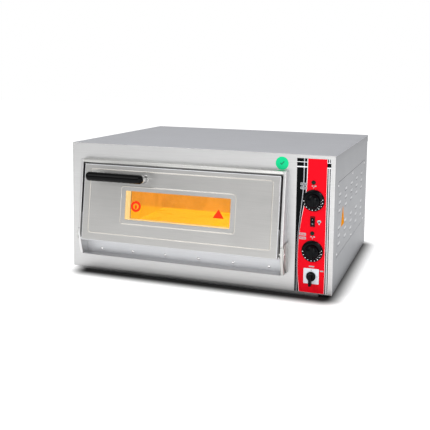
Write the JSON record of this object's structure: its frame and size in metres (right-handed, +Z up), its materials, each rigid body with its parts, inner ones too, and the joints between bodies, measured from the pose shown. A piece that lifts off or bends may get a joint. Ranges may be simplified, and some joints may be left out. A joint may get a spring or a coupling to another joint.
{
  "type": "deck oven",
  "caption": "Electric single-deck bakery oven with a sloping drop-down window door, insulated stone-floored chamber, handle and a side control strip with dials and switches.",
  "frame": {"origin": "middle of the overall bounding box in X and Y, at the surface the plinth stands on", "axes": "+X to the oven's right as seen by the person facing its door, +Y to the back, +Z up; the door is on the -Y side"},
  "size_m": [0.9, 0.8316, 0.438],
  "materials": {
    "brushed_casing": "brushed stainless sheet",
    "bright_steel": "bright steel",
    "chamber_steel": "aluminised sheet",
    "mineral_wool": "mineral wool",
    "hearth_stone": "fired refractory tile",
    "element_sheath": "heat-darkened sheath",
    "gasket_braid": "woven glass braid",
    "lamp_glow": "frosted, lit",
    "clear_glass": "clear toughened",
    "red_mark": "printed film",
    "label_film": "plain printed film",
    "grip_plastic": "gloss moulding",
    "printed_film": "printed film, satin",
    "knob_plastic": "gloss moulding",
    "device_plastic": "moulded",
    "switch_body_plastic": "moulded",
    "capillary_copper": "drawn copper",
    "pilot_lens": "translucent lens",
    "switch_plate": "satin silver",
    "gland_plastic": "moulded nylon"
  },
  "bodies": {
    "oven": {"front_panel": "brushed_casing", "top_cover": "brushed_casing", "left_side_panel": "brushed_casing", "right_side_panel": "brushed_casing", "service_panel": "brushed_casing", "casing_screws": "bright_steel", "back_panel": "brushed_casing", "surface_labels": "label_film", "base_pan": "brushed_casing", "plinth": "brushed_casing", "compartment_divider": "chamber_steel", "mouth_frame": "brushed_casing", "sill_plate": "brushed_casing", "sill_rivets": "bright_steel", "door_seat": "brushed_casing", "seat_gasket": "gasket_braid", "chamber_shell": "chamber_steel", "roof_insulation": "mineral_wool", "floor_insulation": "mineral_wool", "left_insulation": "mineral_wool", "right_insulation": "mineral_wool", "back_insulation": "mineral_wool", "hearth_stones": "hearth_stone", "stone_supports": "chamber_steel", "upper_elements": "element_sheath", "lower_elements": "element_sheath", "upper_hangers": "chamber_steel", "element_flanges": "bright_steel", "lamp_holder": "chamber_steel", "lamp_bulb": "lamp_glow", "lamp_glass": "clear_glass", "hinge_pins": "bright_steel", "hinge_brackets": "brushed_casing", "door_stops": "bright_steel", "control_overlay": "printed_film", "upper_thermostat": "device_plastic", "lower_thermostat": "device_plastic", "upper_sensor": "capillary_copper", "lower_sensor": "capillary_copper", "pilot_lights": "pilot_lens", "rocker_housing": "knob_plastic", "main_switch_plate": "switch_plate", "main_switch_body": "switch_body_plastic", "terminal_block": "device_plastic", "cable_gland": "gland_plastic"},
    "door": {"door_outer_skin": "brushed_casing", "door_inner_skin": "brushed_casing", "door_insulation": "mineral_wool", "window_tunnel": "brushed_casing", "outer_glass": "clear_glass", "inner_glass": "clear_glass", "window_symbols": "red_mark", "handle_grip": "grip_plastic", "handle_standoffs": "bright_steel", "handle_bolts": "bright_steel", "hinge_arms": "bright_steel"},
    "upper_dial": {"upper_knob": "knob_plastic"},
    "lower_dial": {"lower_knob": "knob_plastic"},
    "lamp_switch": {"lamp_rocker": "knob_plastic"},
    "main_switch": {"main_switch_knob": "knob_plastic"}
  },
  "joints": [
    {"name": "door_hinge", "type": "hinge", "parent": "oven", "child": "door", "pos_m": [-0.048, -0.37311, 0.13436], "axis": [1, 0, 0], "range_deg": [0, 97]},
    {"name": "upper_dial_turn", "type": "hinge", "parent": "oven", "child": "upper_dial", "pos_m": [0.3865, -0.32618, 0.299], "axis": [0, 1, 0], "range_deg": [0, 300]},
    {"name": "lower_dial_turn", "type": "hinge", "parent": "oven", "child": "lower_dial", "pos_m": [0.3865, -0.32618, 0.142], "axis": [0, 1, 0], "range_deg": [0, 300]},
    {"name": "lamp_rocker_tilt", "type": "hinge", "parent": "oven", "child": "lamp_switch", "pos_m": [0.385, -0.32618, 0.234], "axis": [1, 0, 0], "range_deg": [-16, 0]},
    {"name": "main_switch_turn", "type": "hinge", "parent": "oven", "child": "main_switch", "pos_m": [0.385, -0.32618, 0.064], "axis": [0, 1, 0], "range_deg": [0, 90]}
  ]
}
